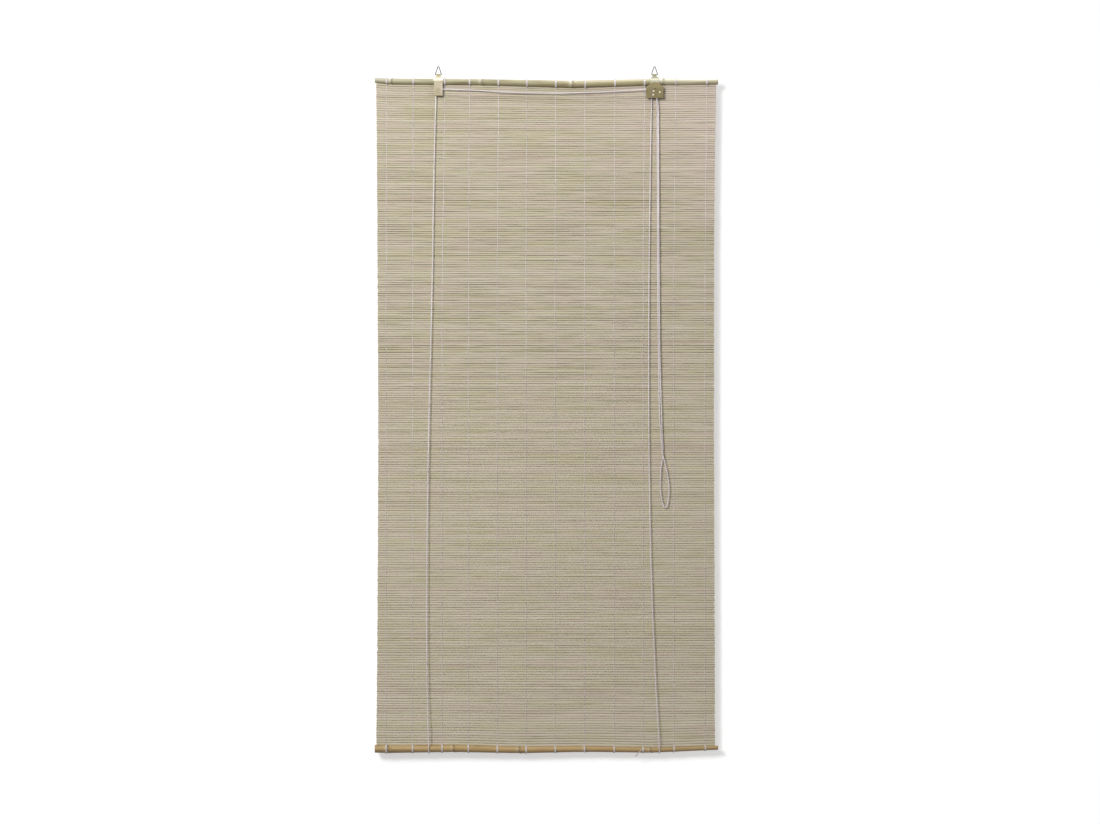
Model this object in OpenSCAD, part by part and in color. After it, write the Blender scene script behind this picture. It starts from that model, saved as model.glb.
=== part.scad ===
// Bamboo roll-up blind: a mat of split-cane slats woven on cotton threads, hung between two crooked
// bamboo poles. Two sheet-steel hangers carry the top pole on wire rings; the left one holds a pulley,
// the right one is the cord lock. One cord runs down the back, under the bottom pole, up the front,
// over the pulleys and down to the pull loop. Millimetres; +X along the poles, -Y to the front, +Z up.
// The origin lies on the hang line, midway between the insides of the two rings' tips.

/* [Blind] */
// Length of both poles, the full width of the blind
pole_len = 800; // [640:10:1000]
// From the hang line down to the axis of the top pole
head_drop = 35; // [33:0.5:40]
// From the hang line down to the axis of the bottom pole
drop = 1590; // [1000:2:2200]
// Distance between the two hang rings
ring_spacing = 504; // [420:2:580]

/* [Poles] */
// Usual diameter of the top pole
top_pole_d = 15; // [13:0.1:17]
// Diameter of the bottom pole at its left end
bottom_pole_d_left = 18.6; // [14:0.1:20]
// Diameter of the bottom pole at its right end
bottom_pole_d_right = 10.4; // [9:0.1:14]
// First joint of the top pole, from its left end
top_first_joint = 41; // [35:1:60]
// Distance from joint to joint along the top pole
top_joint_step = 211; // [190:1:230]
// First joint of the bottom pole, from its left end
bottom_first_joint = 33; // [32:1:45]
// Distance from joint to joint along the bottom pole
bottom_joint_step = 153; // [140:1:170]
// Height of a joint's ridge above the cane
ridge_h = 0.9; // [0.4:0.1:1.5]
// Width of a joint's ridge
ridge_w = 4.4; // [3:0.1:6]
// Diameter of the hollow at a cut end
pith_d = 4.6; // [3:0.1:6]
// Depth of the hollow at a cut end
pith_depth = 26; // [10:1:30]

/* [Slat mat] */
// Width of the mat
mat_w = 788; // [620:2:1000]
// Offset of the mat's middle from the middle of the poles
mat_shift = -2.5; // [-5:0.5:5]
// Distance from slat to slat at the top
slat_pitch_top = 5; // [4.5:0.1:6]
// Distance from slat to slat at the bottom
slat_pitch_bottom = 5.7; // [4.5:0.1:6.5]
// How far the slats' edges wander from an even spacing
slat_wander = 0.5; // [0:0.05:0.7]
// Thickness of a slat
slat_t = 1.8; // [1.4:0.1:2.4]
// Depth of the groove between two slats, on each face
slat_groove = 0.5; // [0.3:0.05:0.6]
// Height of the bevel along a slat's edge
slat_bevel = 0.8; // [0.5:0.05:1.1]
// Height of an open gap between two slats
light_gap = 0.5; // [0.3:0.05:0.8]
// Number of open gaps
light_gap_count = 120; // [40:1:120]
// Closed border at each side of the mat
mat_border = 9; // [5:1:20]
// Room between the mat's edge and what passes above or below it
mat_clear = 0.7; // [0.4:0.1:1.5]

/* [Threads] */
// Number of woven threads across the mat
warp_count = 12; // [8:1:14]
// First thread, in from the mat's left edge
warp_inset_left = 25; // [15:1:40]
// Last thread, in from the mat's right edge
warp_inset_right = 22; // [15:1:40]
// How much closer the threads lie towards the left
warp_skew = 0.085; // [0:0.005:0.15]
// Width of a thread as it lies on the slats
thread_w = 1.6; // [1:0.1:2.5]
// Thickness of a thread as it lies on the slats
thread_t = 0.5; // [0.3:0.05:0.6]
// Width of a lashing on a pole
lash_w = 3.5; // [2:0.1:5]
// Thickness of a lashing on a pole
lash_t = 0.8; // [0.4:0.05:1.2]
// Room between a lashing and the cane
lash_clear = 0.25; // [0.2:0.05:0.35]
// Room beside a lashing where it stands next to a hanger or a joint
lash_side_clear = 0.3; // [0.2:0.1:2]

/* [Hang rings] */
// Wire of the hang rings
ring_wire_d = 2; // [1.6:0.1:2.4]
// Width of a ring between the middles of its wires
ring_w = 13.6; // [13:0.1:18]
// Height of a ring between the middles of its wires
ring_h = 19; // [16:0.5:20]
// Bend of the wire at a ring's corners, to its middle
ring_bend = 1.6; // [1.4:0.1:2.2]
// Room between a ring's wire and the rolled eye
eye_clear = 0.08; // [0.05:0.01:0.1]

/* [Hanger sheets] */
// Thickness of the sheet steel
sheet_t = 0.8; // [0.6:0.05:1]
// Width of the rolled eye
eye_w = 9; // [6:0.1:9.2]
// Room between a hanger and the top pole
strap_clear = 0.45; // [0.35:0.05:0.6]
// Room between a hanger's back leaf and the threads
back_clear = 0.3; // [0.2:0.05:0.6]
// Inner radius of the fold at the top of a back leaf
fold_r = 0.5; // [0.3:0.1:1]
// Width of the left hanger's neck
left_neck_w = 13; // [10:0.5:15]
// Width of the left hanger's front leaf
left_leaf_w = 20; // [18:0.5:22]
// Width of the left hanger where it clasps the pole
left_clasp_w = 23; // [20:0.5:24]
// Width of the right hanger where it clasps the pole
right_clasp_w = 24; // [20:0.5:26]
// Width of the cord lock's plates
lock_w = 40; // [39:0.5:44]
// From the top pole's axis down to the top of the cord lock's plates
lock_top = 12; // [10.5:0.5:13]
// From the top pole's axis down to the foot of the cord lock's plates
lock_foot = 38.4; // [37.5:0.1:42]
// From the left pulley's axis down to the foot of the left hanger
left_foot = 9.3; // [8:0.1:12]
// Rounding at the foot of both hangers
foot_r = 1.6; // [1:0.1:4]

/* [Pulleys and cam] */
// Diameter of a rivet's shank
rivet_d = 2.2; // [1.8:0.1:2.6]
// Diameter of a rivet's head
rivet_head_d = 4.4; // [3.6:0.1:5]
// Height of a rivet's head
rivet_head_h = 0.9; // [0.6:0.1:1.4]
// Room between a rivet and its hole in the sheet
rivet_clear = 0.05; // [0.03:0.01:0.08]
// Room between a rivet and the pulley or cam that turns on it
bearing_clear = 0.06; // [0.04:0.01:0.1]
// Room between a pulley or cam and the sheet on each side
side_clear = 0.25; // [0.2:0.05:0.4]
// From the top pole's axis down to the left pulley's axis
left_pulley_drop = 24; // [22:0.5:28]
// Outer diameter of the left pulley
left_pulley_d = 13.8; // [12:0.1:15]
// Diameter at the bottom of the left pulley's groove
left_groove_d = 7.4; // [6:0.1:8]
// Width of the left pulley's rims
left_rim = 0.85; // [0.5:0.05:1.2]
// Outer diameter of the lock pulley
lock_pulley_d = 11.8; // [10:0.1:12.2]
// Diameter at the bottom of the lock pulley's groove
lock_groove_d = 5.4; // [4.4:0.1:5.6]
// Width of the lock pulley's rims
lock_rim = 0.35; // [0.3:0.05:0.6]
// Radius of the cam's rim
cam_r = 7; // [6:0.1:7]
// Distance from the cam's pin to the middle of its rim
cam_offset = 3.5; // [2.5:0.1:3.6]
// Depth of the cam's teeth
tooth_depth = 0.6; // [0.3:0.1:0.9]
// Number of teeth on the cam
tooth_count = 15; // [8:1:20]
// Diameter of the guide post's sleeve
post_d = 3.6; // [3:0.1:4]
// Diameter of the spacer's sleeve
spacer_d = 2.6; // [2.4:0.1:3.2]

/* [Cord] */
// Diameter of the cord
cord_d = 2.2; // [2:0.1:2.4]
// Wire of the staples that hold the cord's ends
staple_wire_d = 1.2; // [0.8:0.1:1.6]
// Depth to which a staple is driven into the pole
staple_depth = 4; // [2:0.5:5]
// Room between a staple, the cord and the pole
staple_clear = 0.3; // [0.2:0.05:0.5]
// Bend of a staple's wire at its corners, to its middle
staple_bend = 1; // [0.8:0.1:1.4]
// The left staple, from the left ring towards the middle
left_staple_step = 20; // [19:0.5:40]
// The right staple, from the right ring towards the middle
right_staple_step = 18; // [16.5:0.5:19]

/* [Hidden] */
$fn = 48;
warp_names = [for (i = [1:warp_count]) str("warp_thread_", i < 10 ? "0" : "", i)];

// Finishes, as the photograph shows them
cane_green = "#A8A078";
cane_tan = "#BFA672";
slat_straw = "#BBAE93";
thread_lilac = "#D6CCC6";
cord_white = "#E3DAD4";
steel_grey = "#8E8E8C";
brass_pale = "#CFC4A6";
brass_olive = "#8F8458";
rivet_bright = "#DDD6C2";

// The two hangers, and where their rolled eyes lie
left_x = -ring_spacing / 2;
right_x = ring_spacing / 2;
ring_wire_r = ring_wire_d / 2;
// A ring's straight wires are drawn this much thinner than its bends, and run this far into them
wire_step = 0.03;
wire_lap = 0.2;
eye_z = ring_wire_r - ring_h;
eye_in = ring_wire_r - wire_step + eye_clear;
eye_out = eye_in + sheet_t;

// The canes' bends: height of the axis at the left end, at each joint in turn and at the right end
top_crook = [4, 1.2, -0.3, -5.6, 0.5, 0.8];
bottom_crook = [0.5, -0.4, 1.1, -2.4, 0, -2.9, 3.2];
// The top pole's swelling at the same places, added to its diameter
top_swell = [-3, -1.2, -0.2, 2, 0.6, -1.6];
// A joint stays this far from the right end
joint_end = 15;
// A cane's two lengths stop this far from the middle of the joint that holds them
joint_trim = 0.6;
// The flat shoulder beside a ridge
ridge_step = 0.25;

// A list read round and round, for poles with more joints than bends given
function wrapped(list, k) = list[k % len(list)];

// A place along the poles, moved clear of things that stand in its way: each is [middle, half width]
function step_aside(x, blocks, i = 0) =
    i == len(blocks) ? x :
    abs(x - blocks[i][0]) >= blocks[i][1] ? step_aside(x, blocks, i + 1) :
    step_aside(blocks[i][0] + (x < blocks[i][0] ? -1 : 1) * blocks[i][1], blocks, i + 1);

// Joints at even steps from the left end, then the two cut ends
function joints(first, step) =
    [for (x = first - pole_len / 2; x < pole_len / 2 - joint_end; x = x + step) x];
function stops(list) = concat([-pole_len / 2], list, [pole_len / 2]);

hangers_and_ridge = [
    [left_x, (left_clasp_w + ridge_w) / 2 + lash_side_clear],
    [right_x, (right_clasp_w + ridge_w) / 2 + lash_side_clear]];
top_joints = [for (x = joints(top_first_joint, top_joint_step)) step_aside(x, hangers_and_ridge)];
bottom_joints = joints(bottom_first_joint, bottom_joint_step);
top_stops = stops(top_joints);
bottom_stops = stops(bottom_joints);

// Axis height and radius of each pole, as tables of [place, value]
top_axis = [for (k = [0:len(top_stops) - 1]) [top_stops[k], -head_drop + wrapped(top_crook, k)]];
top_radius = [for (k = [0:len(top_stops) - 1])
    [top_stops[k], (top_pole_d + wrapped(top_swell, k)) / 2]];
bottom_axis = [for (k = [0:len(bottom_stops) - 1])
    [bottom_stops[k], -drop + wrapped(bottom_crook, k)]];
bottom_ends = [[-pole_len / 2, bottom_pole_d_left / 2], [pole_len / 2, bottom_pole_d_right / 2]];
bottom_radius = [for (x = bottom_stops) [x, lookup(x, bottom_ends)]];
function top_z(x) = lookup(x, top_axis);
function top_r(x) = lookup(x, top_radius);
function bottom_z(x) = lookup(x, bottom_axis);
function bottom_r(x) = lookup(x, bottom_radius);

// Threads: even steps, drawn together towards the left, clear of hangers and joints
mat_left = mat_shift - mat_w / 2;
mat_right = mat_shift + mat_w / 2;
warp_first = mat_left + warp_inset_left;
warp_last = mat_right - warp_inset_right;
lash_blocks = concat(
    [[left_x, (left_clasp_w + lash_w) / 2 + lash_side_clear],
     [right_x, (right_clasp_w + lash_w) / 2 + lash_side_clear]],
    [for (x = concat(top_joints, bottom_joints)) [x, (ridge_w + lash_w) / 2 + lash_side_clear]]);
function warp_even(t) = warp_first + (warp_last - warp_first) * (t - warp_skew * t * (1 - t));
function warp_x(i) = step_aside(warp_even(i / (warp_count - 1)), lash_blocks);

// The mat's edges follow the poles
top_gap = strap_clear + sheet_t + mat_clear;
bottom_gap = lash_clear + lash_t + mat_clear;
top_edge = [for (x = top_stops) [x, top_z(x) - top_r(x) - top_gap]];
bottom_edge = [for (x = bottom_stops) [x, bottom_z(x) + bottom_r(x) + bottom_gap]];
mat_top = max([for (p = top_edge) p[1]]);
mat_bottom = min([for (p = bottom_edge) p[1]]);
mat_crest = slat_t / 2;
mat_valley = mat_crest - slat_groove;

// Slat edges from the top down: the pitch grows evenly, and each edge wanders a little
slat_count = round(2 * (mat_top - mat_bottom) / (slat_pitch_top + slat_pitch_bottom));
wander_turn = 137.5;
function slat_share(i) =
    (slat_pitch_top * i + (slat_pitch_bottom - slat_pitch_top) * i * i / (2 * slat_count))
    / ((slat_pitch_top + slat_pitch_bottom) / 2 * slat_count);
function slat_edge(i) =
    mat_top + (mat_bottom - mat_top) * slat_share(i)
    + (i == 0 || i == slat_count ? 0 : slat_wander * sin(wander_turn * i));

// The open gaps, spread evenly over the grooves that run the whole width
full_top = min([for (p = top_edge) p[1]]) - slat_pitch_top;
full_bottom = max([for (p = bottom_edge) p[1]]) + slat_pitch_bottom;
full_grooves = [for (i = [1:slat_count - 1])
    if (slat_edge(i) < full_top && slat_edge(i) > full_bottom) i];
gap_count = min(light_gap_count, len(full_grooves));
gap_grooves = [for (k = [0:gap_count - 1]) full_grooves[floor((k + 0.5) * len(full_grooves) / gap_count)]];

// Each hanger's clasp, and the gap between its leaves where the wheels turn
back_face = -(mat_crest + thread_t + back_clear);
back_front = back_face - sheet_t;
function clasp_r(x) = top_r(x) + strap_clear;
function gap_w(x) = clasp_r(x) + back_front;
function gap_y(x) = (back_front - clasp_r(x)) / 2;
function wheel_w(x) = gap_w(x) - 2 * side_clear;
rivet_r = rivet_d / 2;
hole_r = rivet_r + rivet_clear;
bearing_r = rivet_r + bearing_clear;

// Rivets in the cord lock, from the ring's middle and the top pole's axis
lock_pulley_at = [-2.7, -22.3];
cam_at = [12.4, -24.9];
post_at = [-3.2, -31];
spacer_at = [0.3, -14.6];
lock_rivets = [lock_pulley_at, cam_at, post_at, spacer_at];
left_rivets = [[0, -left_pulley_drop]];

// Places on the hangers' outlines
arc_steps = 6;
clasp_steps = 12;
neck_top = eye_z - 3.5;
neck_slope = 1;
shoulder_slope = 1.7;
leaf_short = 1.4;
back_leaf_trim = 1;
cut_depth = 60;

// The cord's route, as it hangs: left end and back run, round the bottom pole, front run, left pulley
left_run = [
    [-232, 8.6, -27.6], [-232, 8.6, -30.2], [-232, 8.6, -32.4], [-232, 8.6, -43], [-252, 9.6, -800],
    [-274, 10.9, -1589.5], [-274, 7.7, -1597.2], [-274, 0, -1600.4], [-274, -7.7, -1597.2], [-274, -10.9, -1589.5],
    [-277.5, -9.5, -1450], [-278.5, -8.5, -1200], [-275, -7.5, -900], [-267, -6.2, -540],
    [-260.5, -5.2, -180], [-257.6, -5, -72],
    [-257.6, -5, -58.6], [-256, -5, -54.6], [-252, -5, -53]];
// Across the front to the lock pulley and down inside the lock
cross_run = [
    [-178, -5.3, -54.6], [-75, -5.7, -60.2], [27, -6, -61.8], [130, -6.3, -58.9], [230, -6.5, -53.4],
    [249.3, -6.5, -52.9], [252.5, -6.5, -54.2], [253.8, -6.5, -57.4],
    [253.9, -6.5, -63], [255.1, -6.5, -68.5], [257, -6.6, -75], [257.8, -6.6, -90]];
// Down to the pull loop, round it and back up
pull_run = [
    [258, -6.2, -130], [259, -6.2, -400], [261.5, -6.2, -700], [265.8, -6.6, -850],
    [271.8, -7.7, -907], [277, -7.2, -928], [282.5, -6.4, -955], [285.6, -6, -981], [284.6, -6, -1001],
    [281.1, -6, -1022], [279.8, -6, -1025.2], [276.6, -6, -1026.5], [273.4, -6, -1025.2], [272.1, -6, -1022],
    [268, -6, -1006], [265.4, -6, -985], [265.4, -5.8, -960], [267.3, -5.2, -932], [271.4, -4.6, -907],
    [269.4, -5.4, -850], [264.8, -6, -700], [262, -6, -400], [260.9, -5.4, -130]];
// Through the lock, down the right front, round the bottom pole and up the back
right_run = [
    [260.3, -4.7, -90], [258.4, -4.3, -75], [255.3, -4.2, -68.5], [253.9, -4.2, -63],
    [253.8, -4.2, -57.4], [252.5, -4.2, -54.2], [249.3, -4.2, -52.9], [246.1, -4.2, -54.2],
    [244.8, -4.2, -57.4], [244.8, -4.2, -76],
    [243, -4.6, -180], [239, -5.2, -500], [239, -6, -900], [243.5, -6.6, -1160], [253.5, -7.4, -1420],
    [263, -7.9, -1592.2], [263, -5.6, -1597.8], [263, 0, -1600.1], [263, 5.6, -1597.8], [263, 7.9, -1592.2],
    [246, 9, -800], [234, 9.4, -44], [234, 9.4, -33.2], [234, 9.4, -31], [234, 9.4, -28.4]];
cord_route = concat(left_run, cross_run, pull_run, right_run);
cord_sides = 8;
// The knots at the two ends, as radii of the first and last rings
knot_radii = [1.2, 2.7];

// Points of an arc in a plane, from angle a to angle b
function arc(centre, r, a, b, steps) =
    [for (k = [0:steps])
        let (angle = a + (b - a) * k / steps)
        centre + r * [cos(angle), sin(angle)]];
function flipped(outline) =
    [for (k = [len(outline) - 1:-1:0]) [-outline[k][0], outline[k][1]]];

// Turns an outline drawn in Y and Z into a body along X, and one drawn in X and Z into a body along Y
module along_x(w) {
    rotate([90, 0, 90])
        linear_extrude(height = w, center = true)
            children();
}

module along_y(depth) {
    rotate([90, 0, 0])
        linear_extrude(height = depth, center = true)
            children();
}

// A round bar along Y, from its front end y0 to its back end y1
module bar_y(x, z, r, y0, y1) {
    translate([x, y1, z])
        rotate([90, 0, 0])
            cylinder(h = y1 - y0, r = r);
}

// A quarter or other share of a bent wire, turning about Z from the X axis
module wire_bend(bend, r, angle) {
    rotate_extrude(angle = angle)
        translate([bend, 0])
            circle(r);
}

// A straight wire in the X-Y plane, running a little past both its ends
module wire_between(a, b, r) {
    span = b - a;
    translate(concat(a, 0))
        rotate([0, 0, atan2(span[1], span[0])])
            rotate([0, 90, 0])
                translate([0, 0, -wire_lap])
                    cylinder(h = norm(span) + 2 * wire_lap, r = r);
}

// Poles

// One length of cane between two joints
module internode(a, b, ra, rb, trim_a, trim_b) {
    span = b - a;
    translate([a[0], 0, a[1]])
        rotate([0, atan2(span[0], span[1]), 0])
            translate([0, 0, trim_a])
                cylinder(h = norm(span) - trim_a - trim_b, r1 = ra, r2 = rb);
}

// The ridge where two lengths of cane meet
module ridge(at, r) {
    half = ridge_w / 2;
    translate([at[0], 0, at[1]])
        rotate([0, 90, 0])
            rotate_extrude()
                polygon([
                    [0, -half], [r + ridge_step, -half], [r + ridge_h, -half * 0.3],
                    [r + ridge_h, half * 0.2], [r + ridge_step, half], [0, half]]);
}

// The hollow in a cut end, along the cane's own slope
module pith(end, next) {
    span = next - end;
    unit = span / norm(span);
    start = end - unit;
    translate([start[0], 0, start[1]])
        rotate([0, atan2(span[0], span[1]), 0])
            cylinder(h = pith_depth + 1, d = pith_d);
}

module cane(axis, radius) {
    last = len(axis) - 1;
    difference() {
        union() {
            for (k = [0:last - 1])
                internode(axis[k], axis[k + 1], radius[k][1], radius[k + 1][1],
                    k == 0 ? 0 : joint_trim, k == last - 1 ? 0 : joint_trim);
            for (k = [1:last - 1])
                ridge(axis[k], radius[k][1]);
        }
        pith(axis[0], axis[1]);
        pith(axis[last], axis[last - 1]);
    }
}

module top_pole() {
    color(cane_green)
        difference() {
            cane(top_axis, top_radius);
            staple_legs(left_x + left_staple_step, staple_wire_d / 2 + rivet_clear);
            staple_legs(right_x - right_staple_step, staple_wire_d / 2 + rivet_clear);
        }
}

module bottom_pole() {
    color(cane_tan)
        cane(bottom_axis, bottom_radius);
}

// Mat

// One face of the mat from the top down: a groove, a bevel, the slat's flat, a bevel, the next groove
function mat_face(side) =
    concat(
        [for (i = [0:slat_count - 1])
            each [
                [side * mat_valley, slat_edge(i)],
                [side * mat_crest, slat_edge(i) - slat_bevel],
                [side * mat_crest, slat_edge(i + 1) + slat_bevel]]],
        [[side * mat_valley, slat_edge(slat_count)]]);
function backwards(list) = [for (k = [len(list) - 1:-1:0]) list[k]];

// Everything above or below one of the mat's edges
module beyond_edge(edge, far) {
    along_y(cut_depth)
        polygon(concat(
            [[-pole_len, far], [-pole_len, edge[0][1]]],
            edge,
            [[pole_len, edge[len(edge) - 1][1]], [pole_len, far]]));
}

module slat_mat() {
    color(slat_straw)
        difference() {
            translate([mat_shift, 0, 0])
                along_x(mat_w)
                    polygon(concat(mat_face(-1), backwards(mat_face(1))));
            for (i = gap_grooves)
                translate([mat_shift, 0, slat_edge(i)])
                    cube([mat_w - 2 * mat_border, cut_depth, light_gap], center = true);
            beyond_edge(top_edge, mat_top + cut_depth);
            beyond_edge(bottom_edge, mat_bottom - cut_depth);
        }
}

// Threads

// The turns of thread round a pole
module lashing(x, z, r) {
    translate([x, 0, z])
        rotate([0, 90, 0])
            difference() {
                cylinder(h = lash_w, r = r + lash_clear + lash_t, center = true);
                cylinder(h = lash_w + 1, r = r + lash_clear, center = true);
            }
}

// One thread: lashed to both poles, with a strand on each face of the mat
module warp_thread(i) {
    x = warp_x(i);
    upper = top_z(x) - top_r(x) - lash_clear - lash_t / 2;
    lower = bottom_z(x) + bottom_r(x) + lash_clear + lash_t / 2;
    color(thread_lilac)
        union() {
            lashing(x, top_z(x), top_r(x));
            lashing(x, bottom_z(x), bottom_r(x));
            for (side = [-1, 1])
                translate([x, side * (mat_crest + thread_t / 2), (upper + lower) / 2])
                    cube([thread_w, thread_t, upper - lower], center = true);
        }
}

// Hangers

// Side view of the eye rolled round the ring's wire
module eye_side() {
    translate([0, eye_z])
        difference() {
            circle(eye_out);
            circle(eye_in);
        }
}

// Side view of the leaf that runs from the eye over the pole's front and straight down
module front_leaf_side(zc, r, foot) {
    outer = r + sheet_t;
    neck_end = eye_z - eye_in - sheet_t / 2;
    polygon(concat(
        [[0, neck_end], [-sheet_t, neck_end]],
        arc([0, zc], outer, 90 + asin(sheet_t / outer), 180, clasp_steps),
        [[-outer, foot], [-r, foot]],
        arc([0, zc], r, 180, 90, clasp_steps)));
}

// Side view of the leaf that runs down behind the pole, under it and down in front of the mat
module back_leaf_side(zc, r, foot) {
    outer = r + sheet_t;
    neck_end = eye_z - eye_in - sheet_t / 2;
    lap = sheet_t / 2;
    fold_y = back_face + fold_r;
    fold_z = zc - outer - fold_r;
    polygon(concat(
        [[-lap, neck_end], [-lap, zc + r + lap], [0, zc + r + lap]],
        arc([0, zc], r, 90, -90, 2 * clasp_steps),
        arc([fold_y, fold_z], fold_r + sheet_t, 90, 180, arc_steps),
        [[back_front, foot], [back_face, foot]],
        arc([fold_y, fold_z], fold_r, 180, 90, arc_steps),
        arc([0, zc], outer, -90, 90 - asin(sheet_t / outer), 2 * clasp_steps),
        [[sheet_t, neck_end]]));
}

// A foot with rounded corners, as the right half of an outline from the bottom up
function foot_half(half_w, foot) =
    arc([half_w - foot_r, foot + foot_r], foot_r, -90, 0, arc_steps);

// Front view of the left hanger's front leaf: eye, neck, shoulders and plate
function left_front_half(zc, foot) =
    concat(
        foot_half(left_leaf_w / 2, foot),
        [[left_leaf_w / 2, zc], [left_clasp_w / 2, zc + shoulder_slope],
         [left_clasp_w / 2, neck_top - 2 * shoulder_slope],
         [left_neck_w / 2, neck_top - shoulder_slope], [left_neck_w / 2, neck_top - neck_slope],
         [eye_w / 2, neck_top], [eye_w / 2, eye_z + eye_out + 1]]);

// Front view of the left hanger's back leaf: as wide as the clasp at the pole, narrower below
function left_back_half(zc, foot) =
    concat(
        foot_half(left_leaf_w / 2 - back_leaf_trim, foot + leaf_short),
        [[left_leaf_w / 2 - back_leaf_trim, zc], [left_clasp_w / 2, zc + shoulder_slope],
         [left_clasp_w / 2, neck_top - 2 * shoulder_slope],
         [left_neck_w / 2, neck_top - shoulder_slope], [left_neck_w / 2, neck_top - neck_slope],
         [eye_w / 2, neck_top], [eye_w / 2, eye_z]]);

// Front view of the right hanger: an arched clasp that flares into the lock's plate
function lock_half(zc, plate_half, flare_top, flare_foot, foot) =
    concat(
        foot_half(plate_half, foot),
        [[plate_half, zc - flare_foot], [right_clasp_w / 2, zc - flare_top]],
        arc([0, neck_top + neck_slope - right_clasp_w / 2], right_clasp_w / 2, 0,
            acos(eye_w / right_clasp_w), arc_steps * 2),
        [[eye_w / 2, eye_z + eye_out + 1]]);

module folded_hanger(x, zc, front_half, back_half, foot, rivets) {
    r = clasp_r(x);
    difference() {
        translate([x, 0, 0])
            union() {
                intersection() {
                    along_x(cut_depth) {
                        eye_side();
                        front_leaf_side(zc, r, foot);
                    }
                    along_y(cut_depth)
                        polygon(concat(front_half, flipped(front_half)));
                }
                intersection() {
                    along_x(cut_depth)
                        back_leaf_side(zc, r, foot + leaf_short);
                    along_y(cut_depth)
                        polygon(concat(back_half, flipped(back_half)));
                }
            }
        for (at = rivets)
            bar_y(x + at[0], zc + at[1], hole_r, -cut_depth, 0);
    }
}

module left_hanger() {
    zc = top_z(left_x);
    foot = zc - left_pulley_drop - left_foot;
    color(brass_pale)
        folded_hanger(left_x, zc, left_front_half(zc, foot), left_back_half(zc, foot), foot, left_rivets);
}

module right_hanger() {
    zc = top_z(right_x);
    foot = zc - lock_foot;
    color(brass_olive)
        folded_hanger(right_x, zc,
            lock_half(zc, lock_w / 2, lock_top / 2, lock_top, foot),
            lock_half(zc, lock_w / 2 - back_leaf_trim, lock_top, 1.4 * lock_top, foot + leaf_short),
            foot, lock_rivets);
}

// Rings

// A point of the ring's plane, taken to its other side
function other_side(p) = [-p[0], p[1]];

// A triangle of wire with three rounded corners, drawn in X and Y with its base along X
module hang_ring(x) {
    tip = [0, ring_wire_r - ring_bend];
    corner = [ring_w / 2 - ring_bend, eye_z + ring_bend];
    side = corner - tip;
    lean = atan2(side[0], -side[1]);
    out = ring_bend * [cos(lean), sin(lean)];
    straight_r = ring_wire_r - wire_step;
    color(steel_grey)
        translate([x, 0, 0])
            rotate([90, 0, 0])
                union() {
                    wire_between([-corner[0], eye_z], [corner[0], eye_z], straight_r);
                    wire_between(tip + out, corner + out, straight_r);
                    wire_between(other_side(tip + out), other_side(corner + out), straight_r);
                    translate(corner)
                        rotate([0, 0, -90])
                            wire_bend(ring_bend, ring_wire_r, 90 + lean);
                    translate(other_side(corner))
                        rotate([0, 0, 180 - lean])
                            wire_bend(ring_bend, ring_wire_r, 90 + lean);
                    translate(tip)
                        rotate([0, 0, lean])
                            wire_bend(ring_bend, ring_wire_r, 180 - 2 * lean);
                }
}

module left_ring() {
    hang_ring(left_x);
}

module right_ring() {
    hang_ring(right_x);
}

// Pulleys, cam and rivets

// A grooved wheel on an axis along Y
module pulley(x, z, d, groove_d, rim) {
    half = wheel_w(x) / 2;
    taper = rim / 2;
    translate([x, gap_y(x), z])
        rotate([90, 0, 0])
            rotate_extrude()
                polygon([
                    [bearing_r, -half], [d / 2, -half], [d / 2, -half + taper],
                    [groove_d / 2, -half + rim], [groove_d / 2, half - rim],
                    [d / 2, half - taper], [d / 2, half], [bearing_r, half]]);
}

// A rivet along Y with its head on the front leaf and its end flush with the back leaf
module rivet(x, at, sleeve_r) {
    px = x + at[0];
    pz = top_z(x) + at[1];
    front = -clasp_r(x) - sheet_t;
    union() {
        bar_y(px, pz, rivet_r, front, back_face);
        bar_y(px, pz, sleeve_r, front + sheet_t, back_front);
        translate([px, front, pz])
            rotate([90, 0, 0])
                rotate_extrude()
                    polygon(concat([[0, 0]],
                        [for (k = [0:arc_steps])
                            let (angle = 90 * k / arc_steps)
                            [rivet_head_d / 2 * cos(angle), rivet_head_h * sin(angle)]]));
    }
}

module left_pulley() {
    color(brass_olive)
        pulley(left_x, top_z(left_x) - left_pulley_drop, left_pulley_d, left_groove_d, left_rim);
}

module left_pulley_rivet() {
    color(brass_pale)
        rivet(left_x, left_rivets[0], rivet_r);
}

module lock_pulley() {
    color(brass_pale)
        translate([lock_pulley_at[0], 0, lock_pulley_at[1]])
            pulley(right_x, top_z(right_x), lock_pulley_d, lock_groove_d, lock_rim);
}

module lock_pulley_rivet() {
    color(rivet_bright)
        rivet(right_x, lock_pulley_at, rivet_r);
}

// The cam's rim: a smooth arc at the back and teeth where it meets the cord
tooth_from = 110;
tooth_to = 250;
smooth_steps = 24;
function cam_rim() =
    concat(
        [for (k = [0:2 * tooth_count])
            let (angle = tooth_from + (tooth_to - tooth_from) * k / (2 * tooth_count))
            (k % 2 == 0 ? cam_r - tooth_depth : cam_r) * [cos(angle), sin(angle)]],
        arc([0, 0], cam_r, tooth_to + 2, tooth_from + 358, smooth_steps));

module lock_cam() {
    color(brass_pale)
        translate([right_x + cam_at[0], gap_y(right_x), top_z(right_x) + cam_at[1]])
            difference() {
                translate([0, 0, -cam_offset])
                    along_y(wheel_w(right_x))
                        polygon(cam_rim());
                bar_y(0, 0, bearing_r, -cut_depth, cut_depth);
            }
}

module lock_cam_rivet() {
    color(rivet_bright)
        rivet(right_x, cam_at, rivet_r);
}

module guide_post() {
    color(rivet_bright)
        rivet(right_x, post_at, post_d / 2);
}

module spacer_rivet() {
    color(rivet_bright)
        rivet(right_x, spacer_at, spacer_d / 2);
}

// Cord and staples

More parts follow.
